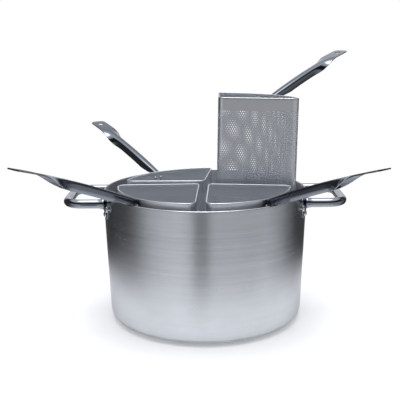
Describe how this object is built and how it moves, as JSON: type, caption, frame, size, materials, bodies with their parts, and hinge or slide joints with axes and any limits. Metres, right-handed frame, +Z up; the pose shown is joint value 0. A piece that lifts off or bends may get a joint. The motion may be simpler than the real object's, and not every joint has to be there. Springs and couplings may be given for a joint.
{
  "type": "pasta pot with strainer insert",
  "caption": "Straight-sided metal pot with two loop handles, holding quarter-round perforated strainer baskets with long raised handles; one basket hangs from the rim to drain.",
  "frame": {"origin": "centre of the pot's underside", "axes": "+Z up; -Y is the front, towards the picture's viewer; +X to the viewer's right"},
  "size_m": [0.5758, 0.5851, 0.4605],
  "materials": {
    "pot_aluminium": "brushed round the pot",
    "polished_steel": "polished",
    "basket_steel": "satin",
    "handle_steel": "satin",
    "rivet_steel": "polished"
  },
  "bodies": {
    "pot": {"pot_wall": "pot_aluminium", "pot_floor": "pot_aluminium", "pot_handle_left": "polished_steel", "pot_handle_right": "polished_steel", "pot_handle_lugs_left": "polished_steel", "pot_handle_lugs_right": "polished_steel", "pot_rivets_left": "rivet_steel", "pot_rivets_right": "rivet_steel"},
    "basket_front_left": {"basket_front_left_wall": "basket_steel", "basket_front_left_base": "basket_steel", "basket_front_left_handle": "handle_steel", "basket_front_left_rivets": "rivet_steel", "basket_front_left_hook": "basket_steel"},
    "basket_front_right": {"basket_front_right_wall": "basket_steel", "basket_front_right_base": "basket_steel", "basket_front_right_handle": "handle_steel", "basket_front_right_rivets": "rivet_steel", "basket_front_right_hook": "basket_steel"},
    "basket_back_left": {"basket_back_left_wall": "basket_steel", "basket_back_left_base": "basket_steel", "basket_back_left_handle": "handle_steel", "basket_back_left_rivets": "rivet_steel", "basket_back_left_hook": "basket_steel"},
    "basket_back_right": {"basket_back_right_wall": "basket_steel", "basket_back_right_base": "basket_steel", "basket_back_right_handle": "handle_steel", "basket_back_right_rivets": "rivet_steel", "basket_back_right_hook": "basket_steel"}
  },
  "joints": [
    {"name": "lift_front_left", "type": "slide", "parent": "pot", "child": "basket_front_left", "axis": [0, 0, 1], "range_m": [0, 0.25]},
    {"name": "lift_front_right", "type": "slide", "parent": "pot", "child": "basket_front_right", "axis": [0, 0, 1], "range_m": [0, 0.25]},
    {"name": "lift_back_left", "type": "slide", "parent": "pot", "child": "basket_back_left", "axis": [0, 0, 1], "range_m": [0, 0.25]},
    {"name": "lift_back_right", "type": "slide", "parent": "pot", "child": "basket_back_right", "axis": [0.0201, 0.0194, 0.9996], "range_m": [0, 0.1]}
  ]
}
